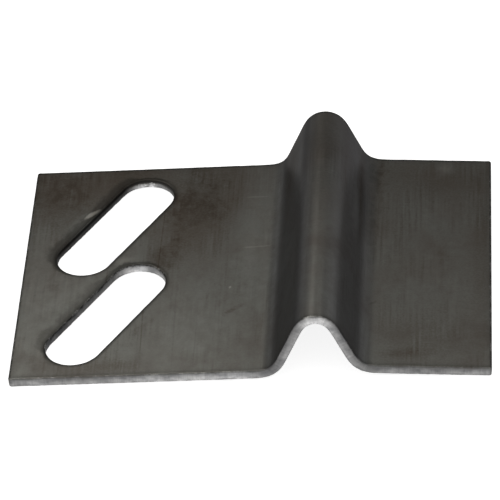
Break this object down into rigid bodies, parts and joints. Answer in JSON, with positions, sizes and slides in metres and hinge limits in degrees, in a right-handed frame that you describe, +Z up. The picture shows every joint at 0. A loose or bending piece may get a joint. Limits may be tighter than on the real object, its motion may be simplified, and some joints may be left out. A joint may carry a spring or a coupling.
{
  "type": "stamped metal bracket",
  "caption": "Folded sheet steel bracket with slanted adjustment slots in its long flange and a rounded hump across it before a short flange.",
  "frame": {"origin": "on the underside of the slotted flange, at the middle of the web between the slots", "axes": "+Z up out of the slotted flange, on the side where the hump stands; +X along the strip from the slotted end to the hump and the short flange; +Y across the strip"},
  "size_m": [0.0772, 0.055, 0.0132],
  "materials": {
    "mill_steel": "bare rolled steel, dull mill finish with a faint rolling grain, bright sheared edges"
  },
  "bodies": {
    "root": {"bracket": "mill_steel"}
  },
  "joints": []
}
